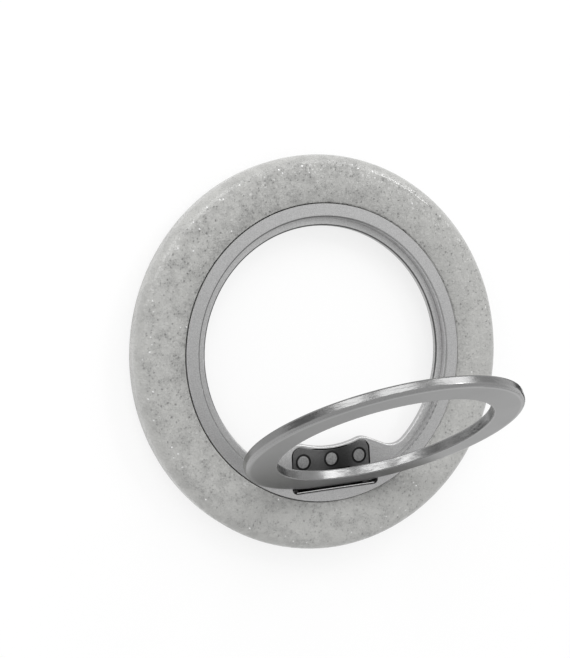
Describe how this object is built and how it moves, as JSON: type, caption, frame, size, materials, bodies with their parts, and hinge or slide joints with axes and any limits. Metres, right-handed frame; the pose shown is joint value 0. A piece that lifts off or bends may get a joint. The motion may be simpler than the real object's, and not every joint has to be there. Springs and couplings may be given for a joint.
{
  "type": "phone ring holder",
  "caption": "Magnetic phone ring holder: a domed glitter resin ring with a turning metal frame and a finger ring that folds out on a hinge as a grip or stand.",
  "frame": {"origin": "on the ring axis at the rear pad's resting face, the centre of the box's bottom face", "axes": "+Z out of the front face along the ring axis, +X to the right and +Y away from the hinge as the front face is seen; the hinge is at -Y"},
  "size_m": [0.0586, 0.0586, 0.0376],
  "materials": {
    "glitter_resin": "clear-coated pale grey resin with fine silver glitter",
    "adhesive_tape": "thin double-sided tape",
    "housing_plastic": "fine moulded texture",
    "shunt_steel": "rolled sheet",
    "magnet_plating": "nickel plated",
    "rear_plastic": "fine moulded texture",
    "soft_pad": "soft silicone, matte",
    "frame_metal": "fine bead-blasted satin",
    "leaf_steel": "darkened spring steel",
    "pin_steel": "ground",
    "rivet_steel": "flush set heads",
    "ring_metal": "satin faces, polished rounded edges"
  },
  "bodies": {
    "base": {"glitter_ring": "glitter_resin", "bonding_tape": "adhesive_tape", "base_housing": "housing_plastic", "shunt_ring": "shunt_steel", "magnet_01": "magnet_plating", "magnet_02": "magnet_plating", "magnet_03": "magnet_plating", "magnet_04": "magnet_plating", "magnet_05": "magnet_plating", "magnet_06": "magnet_plating", "magnet_07": "magnet_plating", "magnet_08": "magnet_plating", "magnet_09": "magnet_plating", "magnet_10": "magnet_plating", "magnet_11": "magnet_plating", "magnet_12": "magnet_plating", "magnet_13": "magnet_plating", "magnet_14": "magnet_plating", "magnet_15": "magnet_plating", "magnet_16": "magnet_plating", "magnet_17": "magnet_plating", "magnet_18": "magnet_plating", "rear_plate": "rear_plastic", "rear_pad": "soft_pad"},
    "frame": {"inner_frame": "frame_metal", "hinge_leaf": "leaf_steel", "hinge_pin": "pin_steel", "hinge_rivets": "rivet_steel"},
    "ring": {"finger_ring": "ring_metal"}
  },
  "joints": [
    {"name": "frame_swivel", "type": "hinge", "parent": "base", "child": "frame", "pos_m": [0, 0, 0.0026], "axis": [0, 0, 1], "continuous": true},
    {"name": "ring_hinge", "type": "hinge", "parent": "frame", "child": "ring", "pos_m": [0, -0.01885, 0.00338], "axis": [1, 0, 0], "range_deg": [-62.5, 27.5]}
  ]
}
